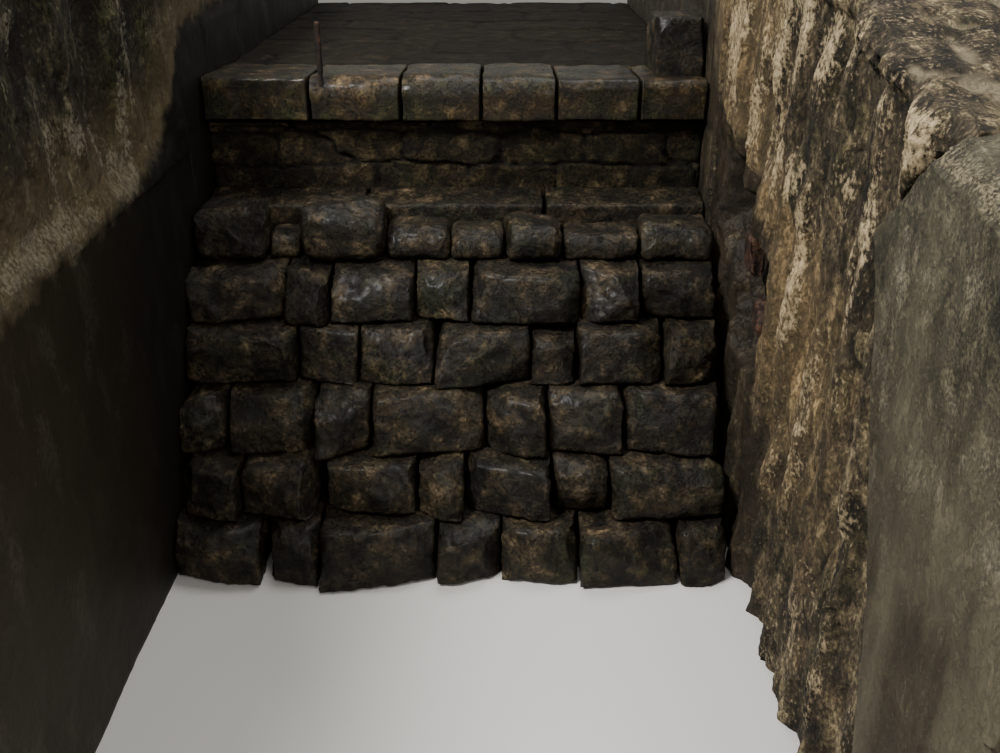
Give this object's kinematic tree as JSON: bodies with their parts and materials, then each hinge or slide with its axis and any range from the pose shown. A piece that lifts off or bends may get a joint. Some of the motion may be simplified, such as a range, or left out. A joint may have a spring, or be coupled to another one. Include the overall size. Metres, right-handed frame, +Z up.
{
  "type": "stone weir",
  "caption": "Two-step rubble stone weir between straight channel walls, with an overhanging crest, a ledge of proud edge stones and an iron pin on the crest.",
  "frame": {"origin": "on the bed, straight below the crest lip, midway between the channel walls", "axes": "+X to the right looking upstream, +Y upstream along the channel, +Z up"},
  "size_m": [3, 5.9, 2.15],
  "materials": {
    "weir_stone": "rough-dressed dark stone, wet and algae-stained",
    "crest_stone": "dark stone, worn smooth by water",
    "left_wall_stone": "brown-grey weathered stone, washed dark and smooth at the foot",
    "right_wall_stone": "tan-brown weathered stone with upright flutes",
    "wing_slab_stone": "grey stone slab with a fine gritty surface",
    "rusted_iron": "wrought bar, rusted all over"
  },
  "bodies": {
    "root": {"weir_core": "weir_stone", "lower_course_1": "weir_stone", "lower_course_2": "weir_stone", "lower_course_3": "weir_stone", "lower_course_4": "weir_stone", "lower_course_5": "weir_stone", "ledge_slab_1": "weir_stone", "ledge_slab_2": "weir_stone", "ledge_slab_3": "weir_stone", "edge_stone_1": "weir_stone", "edge_stone_2": "weir_stone", "edge_stone_3": "weir_stone", "edge_stone_4": "weir_stone", "edge_stone_5": "weir_stone", "edge_stone_6": "weir_stone", "edge_stone_7": "weir_stone", "edge_stone_8": "weir_stone", "crest_stone_1": "crest_stone", "crest_stone_2": "crest_stone", "crest_stone_3": "crest_stone", "crest_stone_4": "crest_stone", "crest_stone_5": "crest_stone", "crest_stone_6": "crest_stone", "corner_block": "crest_stone", "left_wall_foot": "left_wall_stone", "left_wall_upper": "left_wall_stone", "left_wall_upstream": "left_wall_stone", "right_wall_upstream": "right_wall_stone", "right_wall_fluted": "right_wall_stone", "hollow_stones": "right_wall_stone", "right_wing_slab": "wing_slab_stone", "crest_pin": "rusted_iron"}
  },
  "joints": []
}
